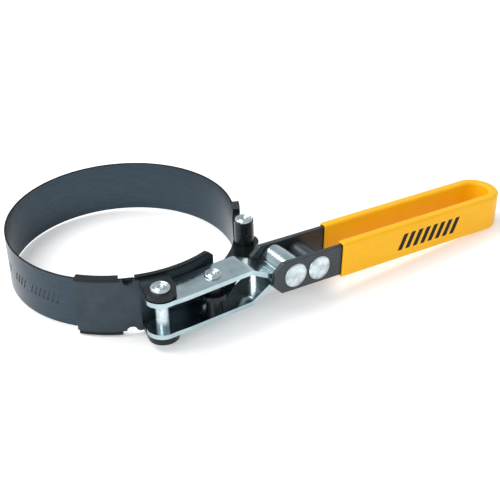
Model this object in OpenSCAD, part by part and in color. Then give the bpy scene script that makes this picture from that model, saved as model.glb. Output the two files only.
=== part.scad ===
// Oil filter wrench: a sprung steel band drawn tight by a link and a forked yoke,
// with a strap handle that swivels on the yoke's eye.
// Origin at the centre of the band, +Z along the filter, +X along the handle.

/* [Band] */
// Inside diameter of the band at rest, which takes the filter
band_bore_d = 93.4; // [93:0.1:94]
// Thickness of the band's strip
band_t = 0.8; // [0.6:0.1:0.9]
// Width of the band
band_w = 22.8; // [22:0.2:23]

/* [Brackets] */
// Thickness of the plate that both brackets are pressed from
bracket_t = 2.2; // [2:0.1:2.4]
// How far each lip stands past the band's edge
lip_h = 1.5; // [1.2:0.1:1.8]
// Outer radius of an ear around the yoke's pivot
ear_r = 6.1; // [5.8:0.1:6.3]
// Thickness of an ear
ear_t = 2.4; // [2.2:0.1:2.5]
// Outside diameter of the rolled knuckle at the band's rear end
knuckle_d = 8; // [7.8:0.1:8.2]

/* [Yoke and link] */
// Width of the yoke's strip
yoke_w = 13.6; // [13.2:0.1:13.6]
// Thickness of the yoke's strip
yoke_t = 2; // [1.8:0.1:2.1]
// Distance from the yoke's own pivot to the link's
crank_l = 23.2; // [22.8:0.1:23.6]
// Width of the link
link_w = 11.6; // [11.2:0.1:11.6]
// Thickness of the link
link_t = 2; // [1.8:0.1:2.1]

/* [Handle] */
// Thickness of the handle's strap
strap_t = 2.1; // [2:0.1:2.2]
// Height of the strap on edge
strap_h = 13.5; // [13:0.1:14]
// Thickness of the dipped grip
grip_t = 1.1; // [1:0.1:1.3]
// Distance from the swivel pin to the handle's far end
handle_l = 113.8; // [110:0.2:130]
// How far the handle hangs below level at rest, in degrees
handle_droop = 4.5; // [0:0.5:6]

/* [Rivets] */
// Shank diameter of the rivet through the ears
ear_rivet_d = 5.6; // [5.4:0.1:5.8]
// Shank diameter of the rivet through the link
link_rivet_d = 5; // [4.8:0.1:5]
// Shank diameter of the pin in the knuckle
knuckle_pin_d = 4.2; // [4:0.1:4.2]
// Shank diameter of the two handle rivets
strap_rivet_d = 6; // [5.8:0.1:6.2]
// Head diameter of the two handle rivets
strap_rivet_head_d = 10.4; // [10:0.1:10.6]

/* [Hidden] */
$fn = 96;

// Small distances
cut = 1;              // how far a cutter runs past what it cuts
run_gap = 0.05;       // radial clearance of a running fit
side_gap = 0.1;       // clearance beside a part held between two others
relief = 0.15;        // how far other parts stay outside the band's bore
split_gap = 0.2;      // gap between the band's two halves

// Band
band_r = band_bore_d / 2;
band_outer_r = band_r + band_t;
inner_r = band_r + relief;
band_front_az = -112.4;   // front end, behind the front bracket's web
band_rear_az = -37.4;     // rear end, at the knuckle
flex_az = 120;            // where the two halves meet and the band bends

// Front bracket, as directions round the bore
web_from_az = -140.3;
web_to_az = -110.5;
lip_from_az = -139.6;
lip_to_az = -119.6;
notch_az = -115.4;
tongue_from_az = -112.2;
tongue_to_az = -70.5;
notch_r = 2.1;
notch_depth = 2.8;
tongue_t = 2;
tongue_h = 24.8;
tongue_chamfer = 2.5;
link_slot_h = 3.2;        // slot that lets the link pass through the tongue
link_slot_from_az = -79;
ear_top_z = 11;

// Yoke: the pivot in the ears, then the link's pivot, then the eye
yoke_y = -56;
pivot = [-13.5, yoke_y];
pivot_az = atan2(pivot[1], pivot[0]);
link_pivot = [pivot[0] + crank_l, yoke_y];
eye_x = 42.5;
eye_in_r = 4.2;
arm_z = 7.2;              // middle of the arm's thickness
neck_z = yoke_t / 2 + side_gap;
slope = 30;               // slant of the arm between its two bends
arm_bend_x = 23.5;
neck_bend_x = arm_bend_x + (arm_z - neck_z) / tan(slope);
yoke_tip_r = 6.4;
arm_bend_r = 6;           // both radii are to the middle of the strip
neck_bend_r = 3;
bend_lap = 0.3;
straight_ease = 0.01;     // how much thinner a straight is than a bend, on each face

// Knuckle and link
knuckle_az = -40;
knuckle_r = band_outer_r + knuckle_d / 2 + run_gap;
knuckle = knuckle_r * [cos(knuckle_az), sin(knuckle_az)];
knuckle_gap = link_t + 0.6;
rear_plate_from_az = -24.6;
rear_plate_to_az = -38.6;
rear_lip_to_az = -33;
link_end_clear = 0.7;     // room round the link's end in the rear bracket
loose_hole_r = knuckle_pin_d / 2 + 0.8;

// Handle
side_clear = 0.3;                            // between the eye and the strap
slot_half = yoke_w / 2 + side_clear;         // half the gap between the legs
strap_half = slot_half + strap_t;
strap_bend_x = eye_x + handle_l - strap_half - grip_t;
nose_x = 32.2;            // the legs' front ends, just clear of the link
nose_chamfer = [4, 3.7];
front_grip_x = 65.4;
rear_grip_x = 68.4;
strap_rivet_x = eye_x + 11.6;
sleeve_r = eye_in_r - run_gap;
spacer_r = 4.5;

// Colours
band_colour = [0.36, 0.40, 0.44];
black_steel = [0.13, 0.14, 0.15];
zinc = [0.78, 0.82, 0.84];
grip_colour = [0.98, 0.76, 0.05];

// A plate curved round the bore, between two radii and two directions
module arc_plate(r_from, r_to, az_from, az_to, h) {
    rotate([0, 0, az_from])
        rotate_extrude(angle = az_to - az_from)
            translate([r_from, -h / 2])
                square([r_to - r_from, h]);
}

// The same shape at the top edge and at the bottom edge
module both_edges() {
    children();
    mirror([0, 0, 1]) children();
}

// Places a child at a point of the plan
module at(point) {
    translate([point[0], point[1], 0]) children();
}

// A rivet on the Z axis: its shank, and two low heads with a dimple in each
module rivet(shank_d, grip_l, head_d, head_h, dimple_r = 0) {
    edge = head_h * 0.45;
    dimple_h = head_h * 0.6;
    difference() {
        union() {
            cylinder(d = shank_d, h = grip_l, center = true);
            both_edges() translate([0, 0, grip_l / 2]) {
                cylinder(d = head_d, h = head_h - edge);
                translate([0, 0, head_h - edge])
                    cylinder(d1 = head_d, d2 = head_d - 2 * edge, h = edge);
            }
        }
        if (dimple_r > 0)
            both_edges() translate([0, 0, grip_l / 2 + head_h - dimple_h])
                cylinder(r1 = dimple_r * 0.6, r2 = dimple_r, h = dimple_h + 0.01);
    }
}

// A ring on the Z axis
module ring(outer_r, inner_r, h) {
    difference() {
        cylinder(r = outer_r, h = h, center = true);
        cylinder(r = inner_r, h = h + 2 * cut, center = true);
    }
}

// --- Band ---

half_gap_az = split_gap / 2 / band_r * 180 / PI;

module band_front_half() {
    color(band_colour)
        arc_plate(band_r, band_outer_r, flex_az + half_gap_az, 360 + band_front_az, band_w);
}

module band_rear_half() {
    color(band_colour) difference() {
        arc_plate(band_r, band_outer_r, band_rear_az, flex_az - half_gap_az, band_w);
        link_end_room();
    }
}

// --- Brackets ---

// Lips that fold in over the band's edges and grip it, rooted in the plate behind
module lips(az_from, az_to) {
    grip_z = band_w / 2 + run_gap;
    root_r = band_outer_r + 0.5;
    root_z = grip_z - 0.5;
    lip_r = band_outer_r + bracket_t + run_gap;
    both_edges() rotate([0, 0, az_from]) rotate_extrude(angle = az_to - az_from)
        polygon([
            [inner_r, grip_z],
            [root_r, grip_z],
            [root_r, root_z],
            [lip_r, root_z],
            [lip_r, grip_z + lip_h],
            [inner_r, grip_z + lip_h]
        ]);
}

// Two flat ears that stand out round the yoke's pivot
module ears() {
    reach = norm(pivot);
    both_edges() translate([0, 0, ear_top_z - ear_t]) rotate([0, 0, pivot_az])
        linear_extrude(height = ear_t) difference() {
            union() {
                translate([reach, 0]) circle(r = ear_r);
                translate([inner_r + 1, -ear_r]) square([reach - inner_r - 1, 2 * ear_r]);
            }
            translate([reach, 0]) circle(d = ear_rivet_d);
        }
}

// Relief notch between the lips and the ears
module notch() {
    floor_z = tongue_h / 2 - notch_depth;
    both_edges() rotate([0, 0, notch_az]) translate([band_r - cut, 0, floor_z + notch_r])
        rotate([90, 0, 90]) linear_extrude(height = 6) {
            circle(r = notch_r);
            translate([-notch_r, 0]) square([2 * notch_r, notch_depth + cut]);
        }
}

// Corners cut off the tongue's tip
module tongue_corners() {
    tip_len = 1.5 * tongue_chamfer;
    both_edges() rotate([0, 0, tongue_to_az])
        translate([band_r - cut, 0, tongue_h / 2 - tongue_chamfer])
            rotate([-45, 0, 0])
                translate([0, -tip_len, 0]) cube([2 * tongue_t + cut, 2 * tip_len, tip_len]);
}

module front_bracket() {
    color(black_steel) difference() {
        union() {
            arc_plate(band_outer_r, band_outer_r + bracket_t, web_from_az, web_to_az, band_w);
            lips(lip_from_az, lip_to_az);
            arc_plate(inner_r, inner_r + tongue_t, tongue_from_az, tongue_to_az, tongue_h);
            ears();
        }
        notch();
        tongue_corners();
        arc_plate(band_r - cut, band_outer_r + bracket_t + cut, link_slot_from_az, tongue_to_az + 2,
            link_slot_h);
    }
}

// Room for the link's round end in the band and in the rear bracket
module link_end_room() {
    at(knuckle) cylinder(r = link_w / 2 + link_end_clear, h = knuckle_gap, center = true);
}

module rear_bracket() {
    color(black_steel) difference() {
        union() {
            arc_plate(band_outer_r, band_outer_r + bracket_t, rear_plate_to_az, rear_plate_from_az,
                band_w);
            lips(rear_lip_to_az, rear_plate_from_az - 0.6);
            at(knuckle) cylinder(d = knuckle_d, h = band_w, center = true);
        }
        at(knuckle) cylinder(d = knuckle_pin_d, h = 2 * band_w, center = true);
        link_end_room();
    }
}

// --- Rivets and pins on the band ---

module ear_rivet() {
    color(zinc) at(pivot) rivet(ear_rivet_d, 2 * ear_top_z, 7.9, 1.3, 2.1);
}

module knuckle_pin() {
    color(zinc) at(knuckle) rivet(knuckle_pin_d, band_w, 7.2, 0.9, 1.6);
}

// Thin washer between an ear and the yoke's arm
module ear_washer() {
    ear_in_z = ear_top_z - ear_t;
    washer_t = ear_in_z - arm_z - yoke_t / 2 - side_gap;
    color(black_steel) at(pivot) translate([0, 0, ear_in_z - washer_t / 2])
        ring(ear_r - 0.5, ear_rivet_d / 2, washer_t);
}

module upper_ear_washer() { ear_washer(); }

module lower_ear_washer() { mirror([0, 0, 1]) ear_washer(); }

// --- Yoke ---

// A bend of the strip: the part of a ring between directions a and b
module bend(mid_r, a, b) {
    intersection() {
        difference() {
            circle(r = mid_r + yoke_t / 2);
            circle(r = mid_r - yoke_t / 2);
        }
        polygon([[0, 0], 3 * mid_r * [cos(a), sin(a)], 3 * mid_r * [cos(b), sin(b)]]);
    }
}

// A straight of the strip along X, run a little way into the bend at either end
module straight(from_x, to_x) {
    t = yoke_t - 2 * straight_ease;
    translate([from_x - bend_lap, -t / 2]) square([to_x - from_x + 2 * bend_lap, t]);
}

// Side view of the upper arm: level, bent down, bent level again, then the eye
module arm_profile() {
    arm_tan = arm_bend_r * tan(slope / 2);
    neck_tan = neck_bend_r * tan(slope / 2);
    slope_l = (arm_z - neck_z) / sin(slope);
    translate([0, arm_z]) straight(pivot[0] - yoke_tip_r - cut, arm_bend_x - arm_tan);
    translate([arm_bend_x - arm_tan, arm_z - arm_bend_r]) bend(arm_bend_r, 90 - slope, 90);
    translate([arm_bend_x, arm_z]) rotate(-slope) straight(arm_tan, slope_l - neck_tan);
    translate([neck_bend_x + neck_tan, neck_z + neck_bend_r])
        bend(neck_bend_r, 270 - slope, 270);
    difference() {
        translate([0, neck_z]) straight(neck_bend_x + neck_tan, eye_x);
        translate([eye_x, 0]) circle(r = eye_in_r + yoke_t / 2);
    }
}

module yoke_profile() {
    arm_profile();
    mirror([0, 1]) arm_profile();
    difference() {
        translate([eye_x, 0]) circle(r = eye_in_r + yoke_t);
        translate([eye_x, 0]) circle(r = eye_in_r);
    }
}

// Plan of the yoke: a round tip that widens to the full strip
module yoke_plan() {
    shoulder_x = pivot[0] + yoke_tip_r;
    translate(pivot) circle(r = yoke_tip_r);
    polygon([
        [pivot[0], yoke_y - yoke_tip_r + 0.4],
        [shoulder_x, yoke_y - yoke_w / 2],
        [eye_x + 10, yoke_y - yoke_w / 2],
        [eye_x + 10, yoke_y + yoke_w / 2],
        [shoulder_x, yoke_y + yoke_w / 2],
        [pivot[0], yoke_y + yoke_tip_r - 0.4]
    ]);
}

module yoke() {
    color(zinc) difference() {
        intersection() {
            translate([0, yoke_y, 0]) rotate([90, 0, 0])
                linear_extrude(height = yoke_w + 2 * cut, center = true) yoke_profile();
            linear_extrude(height = 4 * arm_z, center = true) yoke_plan();
        }
        at(pivot) cylinder(r = ear_rivet_d / 2 + run_gap, h = 4 * arm_z, center = true);
        at(link_pivot) cylinder(d = link_rivet_d, h = 4 * arm_z, center = true);
    }
}

// --- Link ---

module link() {
    reach = knuckle - link_pivot;
    color(black_steel) linear_extrude(height = link_t, center = true) difference() {
        union() {
            translate(link_pivot) circle(d = link_w);
            translate(knuckle) circle(d = link_w);
            translate(link_pivot) rotate(atan2(reach[1], reach[0]))
                translate([0, -link_w / 2]) square([norm(reach), link_w]);
        }
        circle(r = inner_r);
        translate(link_pivot) circle(r = link_rivet_d / 2 + run_gap);
        translate(knuckle) circle(r = loose_hole_r);
    }
}

module link_rivet() {
    color(zinc) at(link_pivot) rivet(link_rivet_d, 2 * arm_z + yoke_t, 6.9, 1, 1.7);
}

// Sleeve that fills the space between the link and an arm
module link_spacer() {
    from_z = link_t / 2 + side_gap;
    to_z = arm_z - yoke_t / 2;
    color(black_steel) at(link_pivot) translate([0, 0, (from_z + to_z) / 2])
        ring(3.3, link_rivet_d / 2, to_z - from_z);
}

module upper_link_spacer() { link_spacer(); }

module lower_link_spacer() { mirror([0, 0, 1]) link_spacer(); }

// --- Handle ---

// Turns the handle's parts down about the swivel pin, to where they hang at rest
module hang() {
    translate([eye_x, 0, 0]) rotate([0, handle_droop, 0]) translate([-eye_x, 0, 0]) children();
}

// Plan of a U: two legs and a round far end, between two distances from its middle line
module u_plan(inner_half, outer_half, front_x, rear_x) {
    translate([0, yoke_y]) difference() {
        union() {
            translate([strap_bend_x, 0]) circle(r = outer_half);
            translate([front_x, -outer_half]) square([strap_bend_x - front_x, outer_half]);
            translate([rear_x, 0]) square([strap_bend_x - rear_x, outer_half]);
        }
        translate([strap_bend_x, 0]) circle(r = inner_half);
        translate([front_x - cut, -inner_half])
            square([strap_bend_x - front_x + cut, 2 * inner_half]);
    }
}

// Corners cut off both legs' front ends, as wedges across the handle
module nose_corners() {
    both_edges() translate([0, yoke_y, 0]) rotate([90, 0, 0])
        linear_extrude(height = 4 * strap_half, center = true)
            polygon([
                [nose_x - cut, strap_h / 2 - nose_chamfer[1]],
                [nose_x, strap_h / 2 - nose_chamfer[1]],
                [nose_x + nose_chamfer[0], strap_h / 2],
                [nose_x + nose_chamfer[0], strap_h / 2 + cut],
                [nose_x - cut, strap_h / 2 + cut]
            ]);
}

module strap_solid() {
    linear_extrude(height = strap_h, center = true)
        u_plan(slot_half, strap_half, nose_x, nose_x);
}

module handle_strap() {
    color(black_steel) hang() difference() {
        strap_solid();
        nose_corners();
        for (x = [eye_x, strap_rivet_x])
            translate([x, yoke_y, 0]) rotate([90, 0, 0])
                cylinder(d = strap_rivet_d, h = 4 * strap_half, center = true);
    }
}

module grip() {
    color(grip_colour) hang() difference() {
        linear_extrude(height = strap_h + 2 * grip_t, center = true)
            u_plan(slot_half - grip_t, strap_half + grip_t, front_grip_x, rear_grip_x);
        strap_solid();
    }
}

// Rivet across the handle at a distance along it
module cross_rivet(x) {
    color(zinc) hang() translate([x, yoke_y, 0]) rotate([90, 0, 0])
        rivet(strap_rivet_d, 2 * strap_half, strap_rivet_head_d, 0.9);
}

// Sleeve on a cross rivet, between the two legs
module cross_sleeve(x, outer_r, tint) {
    color(tint) hang() translate([x, yoke_y, 0]) rotate([90, 0, 0])
        ring(outer_r, strap_rivet_d / 2, 2 * slot_half);
}

module swivel_rivet() { cross_rivet(eye_x); }

module swivel_sleeve() { cross_sleeve(eye_x, sleeve_r, zinc); }

module strap_rivet() { cross_rivet(strap_rivet_x); }

module strap_spacer() { cross_sleeve(strap_rivet_x, spacer_r, black_steel); }

band_front_half();
band_rear_half();
front_bracket();
rear_bracket();
knuckle_pin();
ear_rivet();
upper_ear_washer();
lower_ear_washer();
yoke();
link();
link_rivet();
upper_link_spacer();
lower_link_spacer();
handle_strap();
swivel_rivet();
swivel_sleeve();
strap_rivet();
strap_spacer();
grip();
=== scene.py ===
# %% [markdown]
# # An oil filter wrench
# A sprung steel band goes round an oil filter. A bright forked yoke and a short black link draw
# its two ends together, and a strap handle with a dipped yellow grip swivels in the yoke's eye.
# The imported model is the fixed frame: every piece below is made in place round it.

# %% Load the frame
import math

import bmesh
import bpy
from mathutils import Matrix, Vector


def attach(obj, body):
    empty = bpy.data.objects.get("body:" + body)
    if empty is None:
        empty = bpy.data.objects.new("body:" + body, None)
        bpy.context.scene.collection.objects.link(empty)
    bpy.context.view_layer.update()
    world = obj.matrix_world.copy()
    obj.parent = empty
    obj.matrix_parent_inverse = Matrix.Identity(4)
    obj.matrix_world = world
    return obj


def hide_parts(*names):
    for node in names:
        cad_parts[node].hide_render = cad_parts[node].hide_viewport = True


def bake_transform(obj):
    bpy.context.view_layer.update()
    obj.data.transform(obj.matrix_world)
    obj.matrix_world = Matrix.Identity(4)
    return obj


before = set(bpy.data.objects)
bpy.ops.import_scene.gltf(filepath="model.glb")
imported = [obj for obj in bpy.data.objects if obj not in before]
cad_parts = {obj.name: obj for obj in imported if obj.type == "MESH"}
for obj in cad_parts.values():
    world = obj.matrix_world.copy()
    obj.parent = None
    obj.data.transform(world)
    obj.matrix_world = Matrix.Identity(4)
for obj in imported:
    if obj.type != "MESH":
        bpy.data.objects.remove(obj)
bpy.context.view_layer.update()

# %% [markdown]
# The sizes are those of the real pieces, in millimetres, and are turned into metres once, when a
# piece is finished. Short helpers keep each later cell down to the shape itself.

# %% Sizes that several pieces share
MM = 0.001
BORE_R = 46.7
BAND_T = 0.8
BAND_W = 22.8
YOKE_Y = -56.0
PIVOT = (-13.5, YOKE_Y)
LINK_PIVOT = (9.7, YOKE_Y)
EYE_X = 42.5
DROOP = 4.5
PIN_OFF_BAND = 4.05
KNUCKLE_R = BORE_R + BAND_T + PIN_OFF_BAND
KNUCKLE_AZ = -40.0
KNUCKLE = (
    KNUCKLE_R * math.cos(math.radians(KNUCKLE_AZ)),
    KNUCKLE_R * math.sin(math.radians(KNUCKLE_AZ)),
)
print("knuckle at", [round(c, 2) for c in KNUCKLE])

# %% [markdown]
# Two moves shape most sheet-metal parts: a straight push and a swing round a bend. Both take the
# open end of a bar, given as faces, and carry it on. A bevel then breaks the sharp edges, because
# every real edge catches a thin line of light.


# %% Push, swing and soften
def only(kind, geometry):
    return [g for g in geometry if isinstance(g, kind)]


def push(bm, faces, step):
    grown = bmesh.ops.extrude_face_region(bm, geom=faces)["geom"]
    bmesh.ops.translate(bm, vec=step, verts=only(bmesh.types.BMVert, grown))
    return only(bmesh.types.BMFace, grown)


def swing(bm, faces, centre, axis, degrees, steps):
    made = bmesh.ops.spin(
        bm,
        geom=faces,
        cent=centre,
        axis=axis,
        angle=math.radians(degrees),
        steps=steps,
        use_duplicate=False,
    )
    return only(bmesh.types.BMFace, made["geom_last"])


def soften(bm, width, segments=2, angle=35, keep=None):
    sharp = [
        e
        for e in bm.edges
        if len(e.link_faces) == 2
        and e.calc_face_angle(0) > math.radians(angle)
        and (keep is None or keep(e))
    ]
    bmesh.ops.bevel(
        bm,
        geom=sharp,
        offset=width,
        offset_type="OFFSET",
        segments=segments,
        profile=0.5,
        affect="EDGES",
        clamp_overlap=True,
        material=-1,
    )


# %% [markdown]
# A flat outline is a few corners in the plan, each rounded by a bevel on its vertex. A turned
# part, such as a rivet, is half its section, spun once round.


# %% Flat outlines and turned parts
def outline(bm, corners, z=0.0, segments=10):
    made = [(bm.verts.new((x, y, z)), size) for x, y, size in corners]
    bm.faces.new([vert for vert, _ in made])
    for vert, size in made:
        if size:
            bmesh.ops.bevel(
                bm,
                geom=[vert],
                offset=size,
                offset_type="OFFSET",
                segments=segments,
                profile=0.5,
                affect="VERTICES",
                clamp_overlap=False,
                material=-1,
            )
    bmesh.ops.remove_doubles(bm, verts=bm.verts, dist=1e-3)


def turned(section, steps=64):
    bm = bmesh.new()
    verts = [bm.verts.new((r, 0, z)) for r, z in section]
    edges = [bm.edges.new(pair) for pair in zip(verts, verts[1:])]
    bmesh.ops.spin(
        bm,
        geom=verts + edges,
        cent=(0, 0, 0),
        axis=(0, 0, 1),
        angle=math.tau,
        steps=steps,
        use_merge=True,
        use_duplicate=False,
    )
    bmesh.ops.remove_doubles(bm, verts=bm.verts, dist=1e-3)
    return bm


def drum(radius, low, high, steps=64):
    return turned([(0, low), (radius, low), (radius, high), (0, high)], steps)


def place(bm, matrix):
    bmesh.ops.transform(bm, matrix=matrix, verts=bm.verts)
    return bm


# %% [markdown]
# Holes, pockets and stamped strokes are cut with a Boolean modifier, which is applied at once and
# thrown away, so the finished piece is one plain mesh.


# %% Cutting one solid with another
def cut(bm, other):
    made = []
    for part in (bm, other):
        bmesh.ops.recalc_face_normals(part, faces=part.faces)
        mesh = bpy.data.meshes.new("blank")
        part.to_mesh(mesh)
        part.free()
        made.append(bpy.data.objects.new("blank", mesh))
        bpy.context.collection.objects.link(made[-1])
    modifier = made[0].modifiers.new("Cut", "BOOLEAN")
    modifier.operation = "DIFFERENCE"
    modifier.solver = "EXACT"
    modifier.object = made[1]
    ready = made[0].evaluated_get(bpy.context.evaluated_depsgraph_get())
    result = bmesh.new()
    result.from_mesh(ready.to_mesh())
    ready.to_mesh_clear()
    for blank in made:
        mesh = blank.data
        bpy.data.objects.remove(blank)
        bpy.data.meshes.remove(mesh)
    return result


# %% [markdown]
# Every piece ends the same way: doubles are merged, faces are pointed outwards, sizes become metres, the
# piece is tied to the body that it moves with, and the solids it stands for are hidden.


# %% Finishing a piece
def finish_piece(bm, name, finish_used, body, nodes):
    bmesh.ops.remove_doubles(bm, verts=bm.verts, dist=1e-4)
    bmesh.ops.recalc_face_normals(bm, faces=bm.faces)
    place(bm, Matrix.Scale(MM, 4))
    mesh = bpy.data.meshes.new(name)
    bm.to_mesh(mesh)
    bm.free()
    mesh.shade_smooth()
    mesh.set_sharp_from_angle(angle=math.radians(50))
    mesh.materials.append(finish_used)
    piece = bpy.data.objects.new(name, mesh)
    bpy.context.collection.objects.link(piece)
    even = piece.modifiers.new("Even shading", "WEIGHTED_NORMAL")
    even.keep_sharp = True
    if body:
        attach(piece, body)
    if nodes:
        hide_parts(*nodes)
    size = [round(s * 1000, 1) for s in piece.dimensions]
    print(name, len(mesh.polygons), "faces", size, "mm")
    return piece


# %% [markdown]
# ## Finishes
# Metals differ mostly in how rough they are and how evenly. Each finish is one Principled shader:
# a slow noise varies the colour between a dark and a light value, a finer one the roughness, and
# a faint bump, given in millimetres, breaks up the reflections. The grain is how many features
# the finer noise has in a metre. Everything reads object coordinates, so nothing slides when a
# joint moves.


# %% A finish from two noises and a bump
PATCH_SCALE = 0.12
NOISE_LOW, NOISE_HIGH = 0.3, 0.7


def finish(name, dark, light, rough, metallic, grain, bump, stretch=(1, 1, 1)):
    mat = bpy.data.materials.new(name)
    mat.use_nodes = True
    nodes, links = mat.node_tree.nodes, mat.node_tree.links
    shader = nodes["Principled BSDF"]
    shader.inputs["Metallic"].default_value = metallic
    where = nodes.new("ShaderNodeTexCoord")
    stretched = nodes.new("ShaderNodeVectorMath")
    stretched.operation = "MULTIPLY"
    stretched.inputs[1].default_value = stretch
    links.new(where.outputs["Object"], stretched.inputs[0])

    slow = nodes.new("ShaderNodeTexNoise")
    slow.inputs["Scale"].default_value = grain * PATCH_SCALE
    slow.inputs["Detail"].default_value = 3
    fine = nodes.new("ShaderNodeTexNoise")
    fine.inputs["Scale"].default_value = grain
    fine.inputs["Detail"].default_value = 5
    for noise in (slow, fine):
        links.new(stretched.outputs["Vector"], noise.inputs["Vector"])

    shade = nodes.new("ShaderNodeValToRGB")
    shade.color_ramp.elements[0].position = NOISE_LOW
    shade.color_ramp.elements[0].color = (*dark, 1)
    shade.color_ramp.elements[1].position = NOISE_HIGH
    shade.color_ramp.elements[1].color = (*light, 1)
    links.new(slow.outputs["Fac"], shade.inputs["Fac"])
    links.new(shade.outputs["Color"], shader.inputs["Base Color"])

    spread = nodes.new("ShaderNodeMapRange")
    spread.inputs["From Min"].default_value = NOISE_LOW
    spread.inputs["From Max"].default_value = NOISE_HIGH
    spread.inputs["To Min"].default_value = rough[0]
    spread.inputs["To Max"].default_value = rough[1]
    links.new(fine.outputs["Fac"], spread.inputs["Value"])
    links.new(spread.outputs["Result"], shader.inputs["Roughness"])

    relief = nodes.new("ShaderNodeBump")
    relief.inputs["Strength"].default_value = 1.0
    relief.inputs["Distance"].default_value = bump * MM
    links.new(fine.outputs["Fac"], relief.inputs["Height"])
    links.new(relief.outputs["Normal"], shader.inputs["Normal"])
    print("finish", name)
    return mat


# %% [markdown]
# A sheared edge is darker than a rolled face, and a part can also be darkened towards its ends. Such a
# finish blends into a second colour with the distance from the middle along one axis.

# %% A finish that runs into another colour
def run_into(mat, axis, start, full, colour):
    nodes, links = mat.node_tree.nodes, mat.node_tree.links
    base = nodes["Principled BSDF"].inputs["Base Color"]
    before = base.links[0].from_socket
    parts = nodes.new("ShaderNodeSeparateXYZ")
    links.new(nodes["Texture Coordinate"].outputs["Object"], parts.inputs["Vector"])
    away = nodes.new("ShaderNodeMath")
    away.operation = "ABSOLUTE"
    links.new(parts.outputs[axis], away.inputs[0])
    amount = nodes.new("ShaderNodeMapRange")
    amount.inputs["From Min"].default_value = start * MM
    amount.inputs["From Max"].default_value = full * MM
    links.new(away.outputs["Value"], amount.inputs["Value"])
    blend = nodes.new("ShaderNodeMix")
    blend.data_type = "RGBA"
    blend.inputs[7].default_value = (*colour, 1)
    links.new(amount.outputs["Result"], blend.inputs[0])
    links.new(before, blend.inputs[6])
    links.new(blend.outputs[2], base)
    print(mat.name, "runs into", colour, "along", axis)


# %% [markdown]
# The band is blued spring steel with a soft sheen, rolled along its length, and its sheared edges are
# nearly black. The front bracket has a thin blue-grey coating, and its colour is darkened to black towards
# its folded lips and its ears. The strap and the spacer between its legs are dark grey. The knuckle, the
# washers, the small spacers and the link are black. The yoke, the sleeve and the rivets are zinc plated.
# The grip is soft yellow vinyl with a matt black print.

# %% The steel finishes
BAND_STEEL = finish(
    "blued_spring_steel",
    (0.040, 0.058, 0.074), (0.047, 0.068, 0.087), (0.24, 0.34), 0.9, 1500, 0.0012,
    stretch=(1, 1, 4),
)
run_into(BAND_STEEL, "Z", 11.0, 11.3, (0.006, 0.008, 0.010))
COATED_STEEL = finish(
    "blue_grey_coated_steel", (0.025, 0.038, 0.048), (0.035, 0.052, 0.064), (0.28, 0.38), 0.6, 1500, 0.002
)
# The bracket's colour darkens to black beyond the band's edges, on the lips, and away from the band, on
# the ears.
run_into(COATED_STEEL, "Z", 11.2, 11.8, (0.008, 0.011, 0.013))
run_into(COATED_STEEL, "Y", 49.5, 51.5, (0.011, 0.015, 0.017))
DARK_STEEL = finish(
    "dark_coated_steel", (0.026, 0.034, 0.040), (0.038, 0.049, 0.057), (0.26, 0.36), 0.4, 1400, 0.002
)
BLACK_STEEL = finish(
    "black_steel", (0.009, 0.010, 0.011), (0.015, 0.016, 0.018), (0.25, 0.4), 0.3, 1600, 0.002
)
KNUCKLE_BLACK = finish(
    "black_coated_steel", (0.010, 0.0145, 0.0165), (0.016, 0.022, 0.025), (0.2, 0.3), 0.4, 1500, 0.002
)
GLOSS_BLACK = finish(
    "gloss_black_steel", (0.012, 0.016, 0.018), (0.018, 0.023, 0.026), (0.08, 0.14), 0.6, 1500, 0.001
)
ZINC = finish(
    "bright_zinc", (0.34, 0.45, 0.48), (0.48, 0.59, 0.62), (0.13, 0.24), 1.0, 1300, 0.0014
)
RIVET_STEEL = finish(
    "rivet_steel", (0.34, 0.41, 0.44), (0.68, 0.76, 0.79), (0.2, 0.34), 1.0, 3200, 0.001
)

# %% The grip's finishes
VINYL = finish(
    "yellow_vinyl", (0.85, 0.425, 0.002), (0.90, 0.460, 0.003), (0.34, 0.42), 0.0, 700, 0.006
)
PRINT_BLACK = finish(
    "black_print", (0.010, 0.009, 0.008), (0.018, 0.016, 0.014), (0.4, 0.5), 0.0, 1800, 0.001
)
for soft_finish, shine in ((VINYL, 0.25), (PRINT_BLACK, 0.12)):
    soft_finish.node_tree.nodes["Principled BSDF"].inputs["Specular IOR Level"].default_value = shine

# %% [markdown]
# ## The band
# One strip of spring steel runs round the filter. It is drawn as a small rounded section and
# swung about the filter's axis, and a pocket is cut where the link's end turns on the knuckle.

# %% Band
BAND_OUT_R = BORE_R + BAND_T - 0.01
BAND_START_AZ = -37.4
BAND_SWEEP = 285.0
BAND_STEPS = 210
EDGE_R = 0.25
LINK_ROOM_R = 6.5
LINK_ROOM_HALF = 1.3
band = bmesh.new()
outline(
    band,
    [
        (BORE_R, -BAND_W / 2, EDGE_R),
        (BAND_OUT_R, -BAND_W / 2, EDGE_R),
        (BAND_OUT_R, BAND_W / 2, EDGE_R),
        (BORE_R, BAND_W / 2, EDGE_R),
    ],
    segments=2,
)
STAND = Matrix.Rotation(math.pi / 2, 4, "X")
place(band, Matrix.Rotation(math.radians(BAND_START_AZ), 4, "Z") @ STAND)
swing(band, band.faces[:], (0, 0, 0), (0, 0, 1), BAND_SWEEP, BAND_STEPS)
room = drum(LINK_ROOM_R, -LINK_ROOM_HALF, LINK_ROOM_HALF)
band = cut(band, place(room, Matrix.Translation((*KNUCKLE, 0))))
print("band", len(band.faces), "faces")

# %% [markdown]
# Three groups of plain slanted strokes are stamped into the outside of the band, beside the front
# bracket. A stamp pushes the metal in, so thin leaning bars are cut out of the strip.


# %% Stamped strokes
STROKE_STEP = 2.8
STROKE_W = 0.8
STROKE_TALL = 4.6
STAMP_DEPTH = 0.2
STROKE_LEAN = -24


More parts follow.
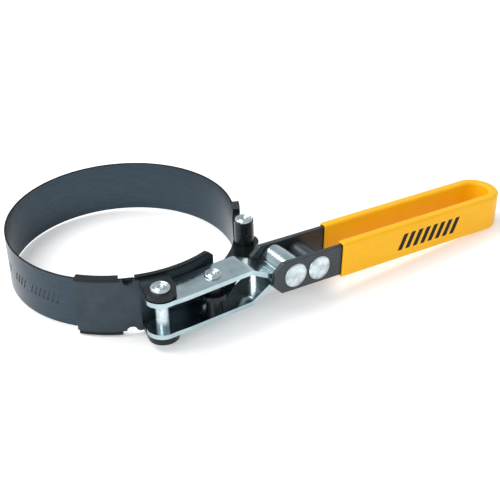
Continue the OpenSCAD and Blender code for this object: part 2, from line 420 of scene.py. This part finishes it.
def stroke(bm, azimuth):
    turn_to = Matrix.Rotation(math.radians(azimuth), 4, "Z") @ Matrix.Translation((BAND_OUT_R, 0, 0))
    lean = Matrix.Rotation(math.radians(STROKE_LEAN), 4, "X")
    size = Matrix.Diagonal((2 * STAMP_DEPTH, STROKE_W, STROKE_TALL, 1))
    bmesh.ops.create_cube(bm, size=1, matrix=turn_to @ lean @ size)


stamp = bmesh.new()
for first, count in ((-193.0, 2), (-181.5, 4), (-167.0, 7)):
    for step in range(count):
        stroke(stamp, first + STROKE_STEP * step)
band = cut(band, stamp)
print("strokes end", STAMP_DEPTH, "mm deep")

# %% [markdown]
# Both rigid halves of the frame stand for this single strip. It is one piece that replaces both halves,
# and it is tied to neither body.

# %% The band as one spring
steel_band = finish_piece(
    band, "steel_band", BAND_STEEL, None, ["band_front_half", "band_rear_half"]
)
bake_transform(steel_band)

# %% [markdown]
# ## The brackets
# Both are thick pressed steel with folded lips, and the frame already has their shape exactly.
# A copy of each solid is merged, and its edges are rounded as a press leaves them.


# %% A softened copy of a solid
def pressed(node, name, finish_used, body, width):
    bm = bmesh.new()
    bm.from_mesh(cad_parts[node].data)
    place(bm, Matrix.Scale(1 / MM, 4))
    bmesh.ops.remove_doubles(bm, verts=bm.verts, dist=1e-3)
    bmesh.ops.dissolve_limit(
        bm, angle_limit=math.radians(1), verts=bm.verts, edges=bm.edges, use_dissolve_boundaries=False
    )
    soften(bm, width, 3)
    return finish_piece(bm, name, finish_used, body, [node])


pressed("front_bracket", "front_bracket_plate", COATED_STEEL, "band", 0.25)
pressed("rear_bracket", "rear_bracket_plate", KNUCKLE_BLACK, "rear_band", 0.25)

# %% [markdown]
# ## The yoke
# A single strip is folded round the swivel pin's eye and its two arms come back side by side.
# The upper arm starts as a flat plate with a round tip. Its end is then carried on along the
# fold, as a bender does it: down, level, up a tight corner and half round the eye. A mirror
# makes the lower arm.

# %% The fold's path along the middle of the strip
ARM_Z = 7.2
ARM_T = 2.0
SLOPE = math.radians(30)
SLOPE_X = 23.5
NECK_Z = 1.1
BEND_R = 6.0
HEEL_R = 3.0
CORNER_R = 1.5
EYE_R = 5.2
ease = math.tan(SLOPE / 2)
BEND_START = SLOPE_X - BEND_R * ease
HEEL_X = SLOPE_X + (ARM_Z - NECK_Z) / math.tan(SLOPE) + HEEL_R * ease
SLOPE_RUN = (ARM_Z - NECK_Z) / math.sin(SLOPE) - (BEND_R + HEEL_R) * ease
CORNER_Z = NECK_Z + CORNER_R
corner_reach = math.sqrt((EYE_R + CORNER_R) ** 2 - CORNER_Z**2)
CORNER_X = EYE_X - corner_reach
EYE_START = math.degrees(math.atan2(CORNER_Z, corner_reach))
print("bend starts at", round(BEND_START, 3), "heel at", round(HEEL_X, 3), "corner at", round(CORNER_X, 3))

# %% Yoke
HALF_W = 6.8
TIP_R = 6.4
SHOULDER_X = (-6.5, -10.5)
SHOULDER_SOFT = 1.5
ALMOST = 0.001
yoke = bmesh.new()
outline(
    yoke,
    [
        (BEND_START, -HALF_W, 0),
        (BEND_START, HALF_W, 0),
        (SHOULDER_X[0], HALF_W, SHOULDER_SOFT),
        (SHOULDER_X[1], TIP_R, SHOULDER_SOFT),
        (PIVOT[0] - TIP_R, TIP_R, TIP_R - ALMOST),
        (PIVOT[0] - TIP_R, -TIP_R, TIP_R - ALMOST),
        (SHOULDER_X[1], -TIP_R, SHOULDER_SOFT),
        (SHOULDER_X[0], -HALF_W, SHOULDER_SOFT),
    ],
    z=ARM_Z - ARM_T / 2,
    segments=14,
)
bmesh.ops.recalc_face_normals(yoke, faces=yoke.faces)
push(yoke, yoke.faces[:], (0, 0, ARM_T))
bmesh.ops.recalc_face_normals(yoke, faces=yoke.faces)


def runs_along_plate(edge, open_end):
    one, other = edge.verts
    return min(one.co.x, other.co.x) < open_end and abs(one.co.z - other.co.z) < 0.1


near_start = BEND_START - 0.1
soften(yoke, 0.35, 3, keep=lambda e: runs_along_plate(e, near_start))
end = [f for f in yoke.faces if f.normal.x > 0.99 and f.calc_center_median().x > near_start]
ABOUT_Y = (0, 1, 0)
end = swing(yoke, end, (BEND_START, 0, ARM_Z - BEND_R), ABOUT_Y, math.degrees(SLOPE), 8)
end = push(yoke, end, (SLOPE_RUN * math.cos(SLOPE), 0, -SLOPE_RUN * math.sin(SLOPE)))
end = swing(yoke, end, (HEEL_X, 0, NECK_Z + HEEL_R), ABOUT_Y, -math.degrees(SLOPE), 6)
end = push(yoke, end, (CORNER_X - HEEL_X, 0, 0))
end = swing(yoke, end, (CORNER_X, 0, CORNER_Z), ABOUT_Y, EYE_START - 90, 8)
end = swing(yoke, end, (EYE_X, 0, 0), ABOUT_Y, 180 - EYE_START, 40)
bmesh.ops.delete(yoke, geom=end, context="FACES")
bmesh.ops.mirror(yoke, geom=yoke.verts[:] + yoke.edges[:] + yoke.faces[:], merge_dist=0.01, axis="Z")
place(yoke, Matrix.Translation((0, YOKE_Y, 0)))
YOKE_HOLES = ((PIVOT, 2.85), (LINK_PIVOT, 2.5))
for centre, radius in YOKE_HOLES:
    hole = place(drum(radius, -12, 12), Matrix.Translation((*centre, 0)))
    yoke = cut(yoke, hole)
finish_piece(yoke, "forked_yoke", ZINC, "yoke", ["yoke"])

# %% [markdown]
# ## The link
# A flat black bar with round ends. Its inner edge is relieved to the filter's circle, so the
# filter never touches it.

# %% Link
LINK_HALF = 5.8
LINK_T = 2.0
reach = Vector(KNUCKLE) - Vector(LINK_PIVOT)
link = bmesh.new()
outline(
    link,
    [
        (-LINK_HALF, -LINK_HALF, LINK_HALF - ALMOST),
        (reach.length + LINK_HALF, -LINK_HALF, LINK_HALF - ALMOST),
        (reach.length + LINK_HALF, LINK_HALF, LINK_HALF - ALMOST),
        (-LINK_HALF, LINK_HALF, LINK_HALF - ALMOST),
    ],
    z=-LINK_T / 2,
    segments=20,
)
push(link, link.faces[:], (0, 0, LINK_T))
aim_link = Matrix.Rotation(math.atan2(reach.y, reach.x), 4, "Z")
place(link, Matrix.Translation((*LINK_PIVOT, 0)) @ aim_link)
RELIEF_R = BORE_R + 0.15
link = cut(link, drum(RELIEF_R, -3, 3, 256))
LINK_HOLES = ((LINK_PIVOT, 2.55), (KNUCKLE, 2.9))
for centre, radius in LINK_HOLES:
    link = cut(link, place(drum(radius, -3, 3), Matrix.Translation((*centre, 0))))
soften(link, 0.2, 2, 50)
finish_piece(link, "black_link", GLOSS_BLACK, "link", ["link"])


# %% [markdown]
# ## Rivets, pins and spacers
# All are turned shapes. A riveting tool leaves a ring with a dimple in each head of the three
# upright ones, so their section is given as shares of the head's radius and height.


# %% Upright rivets
def upright_rivet(name, centre, shank_r, half_grip, head_r, head_h, body, node):
    dish = [
        (0, 0.34), (0.18, 0.32), (0.26, 0.42), (0.33, 0.74), (0.40, 0.84), (0.48, 0.82),
        (0.56, 0.52), (0.63, 0.42), (0.70, 0.62), (0.77, 0.94), (0.86, 1.0), (0.94, 0.84),
        (1.0, 0.48), (1.0, 0.0),
    ]
    half = [(head_r * r, half_grip + head_h * h) for r, h in dish] + [(shank_r, half_grip)]
    bm = turned(half + [(r, -z) for r, z in reversed(half)], 96)
    place(bm, Matrix.Translation((*centre, 0)))
    return finish_piece(bm, name, RIVET_STEEL, body, [node])


upright_rivet("ear_rivet_turned", PIVOT, 2.8, 11.0, 3.95, 1.3, "band", "ear_rivet")
upright_rivet("link_rivet_turned", LINK_PIVOT, 2.5, 8.2, 3.45, 1.0, "yoke", "link_rivet")
upright_rivet("knuckle_pin_turned", KNUCKLE, 2.1, 11.4, 3.6, 0.9, "rear_band", "knuckle_pin")

# %% [markdown]
# Thin washers, a guessed part, keep the ears off the yoke's arms. Their black is partly painted shade: it
# stands for the shaded gap between each ear and its arm. Two short tubes hold the link in the middle of
# the yoke. They are plain turned rings with eased edges, made in mirrored pairs.


# %% Washers and spacers on the upright rivets
WASHER_Z = (8.3, 8.6)
SPACER_Z = (1.1, 6.2)


def collar(name, centre, inner_r, outer_r, low, high, body, node, soft=0.1):
    bm = turned([(inner_r, low), (outer_r, low), (outer_r, high), (inner_r, high), (inner_r, low)])
    soften(bm, soft, 2, 50)
    place(bm, Matrix.Translation((*centre, 0)))
    return finish_piece(bm, name, BLACK_STEEL, body, [node])


for side, word in ((1, "upper"), (-1, "lower")):
    low, high = sorted(side * z for z in WASHER_Z)
    # The black washer discs are a guessed part and partly painted shade: they darken the gap between each
    # ear and its arm.
    collar(f"{word}_washer_and_gap_shade_disc", PIVOT, 2.8, 5.6, low, high, "band", f"{word}_ear_washer", 0.05)
    low, high = sorted(side * z for z in SPACER_Z)
    collar(f"{word}_spacer_tube", LINK_PIVOT, 2.5, 3.3, low, high, "yoke", f"{word}_link_spacer")

# %% [markdown]
# ## The handle
# A flat steel strap on edge is folded into a long U. Half of it is made, from the nose along one
# leg and a quarter round the far end, and mirrored. The whole handle then hangs a little below
# level, turned about the swivel pin.

# %% Where the handle hangs
HANG = (
    Matrix.Translation((EYE_X, YOKE_Y, 0))
    @ Matrix.Rotation(math.radians(DROOP), 4, "Y")
    @ Matrix.Translation((-EYE_X, 0, 0))
)
SLOT_HALF = 7.1
STRAP_T = 2.1
LEG_Y = SLOT_HALF + STRAP_T / 2
BEND_X = 146.0
print("legs lie", LEG_Y, "mm each side")


def mirrored_legs(bm, end):
    end = push(bm, end, (BEND_X - end[0].calc_center_median().x, 0, 0))
    end = swing(bm, end, (BEND_X, 0, 0), (0, 0, 1), 90, 24)
    bmesh.ops.delete(bm, geom=end, context="FACES")
    everything = bm.verts[:] + bm.edges[:] + bm.faces[:]
    bmesh.ops.mirror(bm, geom=everything, merge_dist=0.01, axis="Y")


# %% Handle strap
OPEN_X = 60
STRAP_HALF_H = 6.75
NOSE_X = 32.2
NOSE_CUT_X = 4.2
NOSE_CUT_Z = 3.9
strap = bmesh.new()
outline(
    strap,
    [
        (OPEN_X, -STRAP_HALF_H, 0),
        (OPEN_X, STRAP_HALF_H, 0),
        (NOSE_X + NOSE_CUT_X, STRAP_HALF_H, 0.6),
        (NOSE_X, STRAP_HALF_H - NOSE_CUT_Z, 0.6),
        (NOSE_X, NOSE_CUT_Z - STRAP_HALF_H, 0.6),
        (NOSE_X + NOSE_CUT_X, -STRAP_HALF_H, 0.6),
    ],
    segments=6,
)
push(strap, strap.faces[:], (0, 0, STRAP_T))
place(strap, Matrix.Translation((0, -LEG_Y + STRAP_T / 2, 0)) @ STAND)
bmesh.ops.recalc_face_normals(strap, faces=strap.faces)


def runs_along_leg(edge):
    one, other = edge.verts
    return min(one.co.x, other.co.x) < OPEN_X - 0.1 and abs(one.co.y - other.co.y) < 0.1


soften(strap, 0.25, 3, 50, keep=runs_along_leg)
end = [f for f in strap.faces if f.normal.x > 0.99 and f.calc_center_median().x > OPEN_X - 0.1]
mirrored_legs(strap, end)
place(strap, HANG)
finish_piece(strap, "strap_of_steel", DARK_STEEL, "handle", ["handle_strap"])

# %% [markdown]
# ## The grip
# The handle's far part was dipped in soft yellow vinyl. Its skin is a tube that follows the
# strap: a rounded section is inset to leave a ring, and the ring is swept along the same path.
# The far leg was dipped a little less deep, so its skin starts later.

# %% Grip
GRIP_T = 1.05
GRIP_HALF_T = STRAP_T / 2 + GRIP_T
GRIP_HALF_H = 7.85
GRIP_SOFT = 1.15
GRIP_START_X = 65.4
FAR_LEG_LATER = 3
grip = bmesh.new()
outline(
    grip,
    [
        (-GRIP_HALF_T, -GRIP_HALF_H, GRIP_SOFT),
        (GRIP_HALF_T, -GRIP_HALF_H, GRIP_SOFT),
        (GRIP_HALF_T, GRIP_HALF_H, GRIP_SOFT),
        (-GRIP_HALF_T, GRIP_HALF_H, GRIP_SOFT),
    ],
    segments=6,
)
ring_faces = bmesh.ops.inset_region(
    grip, faces=grip.faces[:], thickness=GRIP_T - 0.03, use_boundary=True, use_even_offset=True
)["faces"]
inside = [f for f in grip.faces if f not in ring_faces]
bmesh.ops.delete(grip, geom=inside, context="FACES_ONLY")
quarter = Matrix.Rotation(math.pi / 2, 4, "Z")
place(grip, Matrix.Translation((GRIP_START_X, -LEG_Y, 0)) @ quarter @ STAND)
end = push(grip, grip.faces[:], (6, 0, 0))
mirrored_legs(grip, end)
bmesh.ops.recalc_face_normals(grip, faces=grip.faces)
soften(grip, 0.45, 3, 50, keep=lambda e: max(v.co.x for v in e.verts) < GRIP_START_X + 0.1)
late = [v for v in grip.verts if v.co.y > 0 and v.co.x < GRIP_START_X + 1.6]
bmesh.ops.translate(grip, vec=(FAR_LEG_LATER, 0, 0), verts=late)
place(grip, HANG)
finish_piece(grip, "dipped_grip", VINYL, "handle", ["grip"])

# %% [markdown]
# The grip's front face carries a simple printed mark: a row of slanted bars, each a thin film
# that stands a few hundredths of a millimetre proud, as screen printing does.

# %% Printed bars
BAR_COUNT = 8
FIRST_BAR_X = 96.0
BAR_PITCH = 4.1
BAR_W = 2.3
BAR_TOP = 3.6
BAR_LEAN = 1.5
BAR_SOFT = 0.3
FILM_T = 0.06
FILM_SUNK = 0.02
print_film = bmesh.new()
for step in range(BAR_COUNT):
    left = FIRST_BAR_X + BAR_PITCH * step
    outline(
        print_film,
        [
            (left - BAR_LEAN, -BAR_TOP, BAR_SOFT),
            (left + BAR_W - BAR_LEAN, -BAR_TOP, BAR_SOFT),
            (left + BAR_W + BAR_LEAN, BAR_TOP, BAR_SOFT),
            (left + BAR_LEAN, BAR_TOP, BAR_SOFT),
        ],
        segments=3,
    )
push(print_film, print_film.faces[:], (0, 0, FILM_T))
face_y = -(LEG_Y + GRIP_HALF_T)
place(print_film, HANG @ Matrix.Translation((0, face_y + FILM_SUNK, 0)) @ STAND)
finish_piece(print_film, "grip_print", PRINT_BLACK, "handle", [])

# %% [markdown]
# Two broad rivets go right through the strap. The first turns in a sleeve inside the yoke's eye,
# and the second holds a dark spacer that keeps the legs apart. Their heads are slightly domed,
# as a press leaves them, so a flat disc would catch the light wrongly.


# %% Cross rivets, sleeve and spacer
SECOND_RIVET_X = EYE_X + 11.6
SHANK_R = 3.0


def crosswise(bm, x):
    return place(bm, HANG @ Matrix.Translation((x, 0, 0)) @ STAND)


def cross_rivet(name, x, node):
    half = [
        (0, 10.1), (1.4, 10.09), (2.6, 10.05), (3.7, 9.97), (4.5, 9.86), (5.0, 9.68),
        (5.2, 9.45), (5.2, 9.2), (SHANK_R, 9.2),
    ]
    bm = turned(half + [(r, -y) for r, y in reversed(half)], 96)
    return finish_piece(crosswise(bm, x), name, RIVET_STEEL, "handle", [node])


def cross_tube(name, x, outer_r, finish_used, node):
    corners = [(SHANK_R, -SLOT_HALF), (outer_r, -SLOT_HALF), (outer_r, SLOT_HALF), (SHANK_R, SLOT_HALF)]
    bm = turned(corners + corners[:1], 96)
    soften(bm, 0.15, 2, 50)
    return finish_piece(crosswise(bm, x), name, finish_used, "handle", [node])


cross_rivet("swivel_rivet_turned", EYE_X, "swivel_rivet")
cross_rivet("strap_rivet_turned", SECOND_RIVET_X, "strap_rivet")
cross_tube("swivel_sleeve_tube", EYE_X, 4.15, ZINC, "swivel_sleeve")
cross_tube("strap_spacer_tube", SECOND_RIVET_X, 4.5, DARK_STEEL, "strap_spacer")

# %% [markdown]
# ## Floor, light and camera
# The wrench lies tipped on its lowest points, so in its own frame the floor slopes a little. The
# floor is pale and glows faintly, as a lit studio table does.

# %% Floor
FLOOR_GAP = 0.0002
FLOOR_UP = Vector((0.0149, -0.0230, 1)).normalized()
lowest = min(FLOOR_UP @ v.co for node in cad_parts.values() for v in node.data.vertices)
floor_mesh = bmesh.new()
bmesh.ops.create_grid(floor_mesh, x_segments=1, y_segments=1, size=3)
turn = Vector((0, 0, 1)).rotation_difference(FLOOR_UP).to_matrix().to_4x4()
place(floor_mesh, Matrix.Translation(FLOOR_UP * (lowest - FLOOR_GAP)) @ turn)
floor_data = bpy.data.meshes.new("pale_floor")
floor_mesh.to_mesh(floor_data)
floor_mesh.free()
floor = bpy.data.objects.new("pale_floor", floor_data)
bpy.context.collection.objects.link(floor)
floor_mat = bpy.data.materials.new("pale_floor")
floor_mat.use_nodes = True
floor_shader = floor_mat.node_tree.nodes["Principled BSDF"]
floor_shader.inputs["Base Color"].default_value = (0.88, 0.88, 0.88, 1)
floor_shader.inputs["Roughness"].default_value = 0.9
floor_shader.inputs["Specular IOR Level"].default_value = 0.1
floor_shader.inputs["Emission Color"].default_value = (1, 1, 1, 1)
floor_shader.inputs["Emission Strength"].default_value = 0.25
floor_data.materials.append(floor_mat)
print("floor at", round(lowest * 1000, 2), "mm")

# %% [markdown]
# A sky that is white at the horizon and greyer overhead lights the wrench from all round, so the
# bright metal has something to reflect. Two large soft panels add light from above and the left.

# %% Sky and panels
scene = bpy.context.scene
world = bpy.data.worlds.new("studio")
scene.world = world
world.use_nodes = True
sky, links = world.node_tree.nodes, world.node_tree.links
direction = sky.new("ShaderNodeTexCoord")
parts = sky.new("ShaderNodeSeparateXYZ")
ramp = sky.new("ShaderNodeValToRGB")
ramp.color_ramp.elements[0].position = 0.0
ramp.color_ramp.elements[0].color = (1.0, 1.0, 1.0, 1)
ramp.color_ramp.elements[1].position = 0.9
ramp.color_ramp.elements[1].color = (0.45, 0.47, 0.5, 1)
links.new(direction.outputs["Generated"], parts.inputs["Vector"])
links.new(parts.outputs["Z"], ramp.inputs["Fac"])
links.new(ramp.outputs["Color"], sky["Background"].inputs["Color"])
sky["Background"].inputs["Strength"].default_value = 1.0


def panel(name, spot, size, power):
    data = bpy.data.lights.new(name, "AREA")
    data.shape = "RECTANGLE"
    data.size, data.size_y = size
    data.energy = power
    lamp = bpy.data.objects.new(name, data)
    lamp.location = spot
    aim = Vector((0.04, -0.03, 0)) - Vector(spot)
    lamp.rotation_euler = aim.to_track_quat("-Z", "Y").to_euler()
    bpy.context.collection.objects.link(lamp)


panel("top_panel", (-0.3, 0.35, 0.9), (0.9, 0.6), 9)
panel("left_panel", (-0.9, -0.5, 0.5), (0.6, 0.6), 4)
scene.view_settings.view_transform = "Standard"

# %% [markdown]
# The camera looks down at about thirty degrees from the front left, on the yoke's side of the
# band. Its long lens lets the handle run away to the upper right with little distortion.

# %% Camera
camera_data = bpy.data.cameras.new("camera")
camera_data.lens = 88.93
camera_data.sensor_width = 36
camera_data.clip_start = 0.01
camera = bpy.data.objects.new("camera", camera_data)
forward = Vector((0.4591, 0.7130, -0.5299)).normalized()
right = Vector((0.8289, -0.5583, -0.0331)).normalized()
up = right.cross(forward).normalized()
turn = Matrix((right, up, -forward)).transposed().to_4x4()
camera.matrix_world = Matrix.Translation((-0.19424, -0.40011, 0.26856)) @ turn
bpy.context.collection.objects.link(camera)
scene.camera = camera
print("camera", [round(c, 3) for c in camera.matrix_world.translation])
